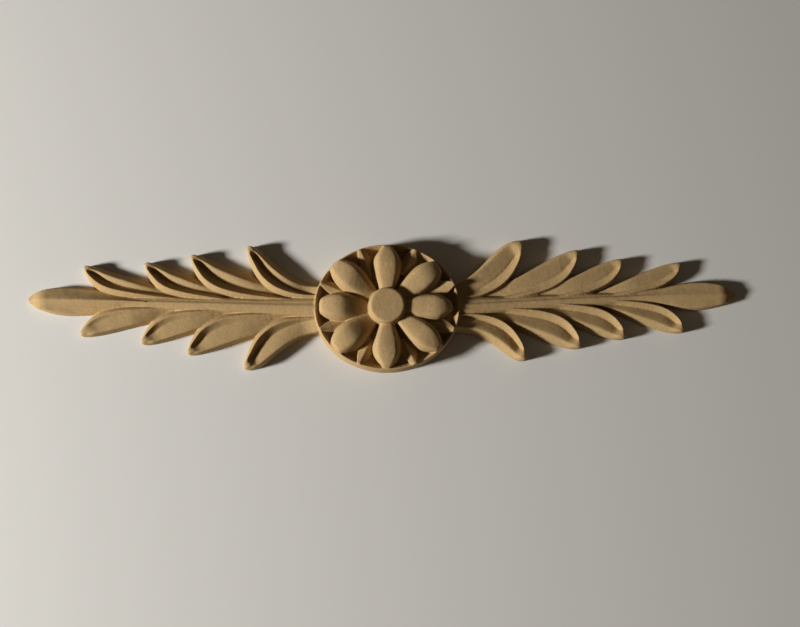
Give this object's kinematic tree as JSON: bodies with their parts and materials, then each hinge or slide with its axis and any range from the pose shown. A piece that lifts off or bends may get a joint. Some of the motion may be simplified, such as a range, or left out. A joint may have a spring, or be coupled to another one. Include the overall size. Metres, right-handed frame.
{
  "type": "frieze moulding",
  "caption": "Long cast foam appliqué: an oval rosette with petals between two leaf sprays on a flat back, glued to a frieze, chimneypiece or furniture.",
  "frame": {"origin": "middle of the rosette, on the plane of the flat back", "axes": "+X along the moulding to the right-hand spray, +Y across it to the upper leaves, +Z out of the back towards the viewer"},
  "size_m": [0.2, 0.0381, 0.009],
  "materials": {
    "cast_foam": "unpainted tan cast rigid foam, matt, with fine pits and tool marks"
  },
  "bodies": {
    "root": {"frieze_moulding": "cast_foam"}
  },
  "joints": []
}
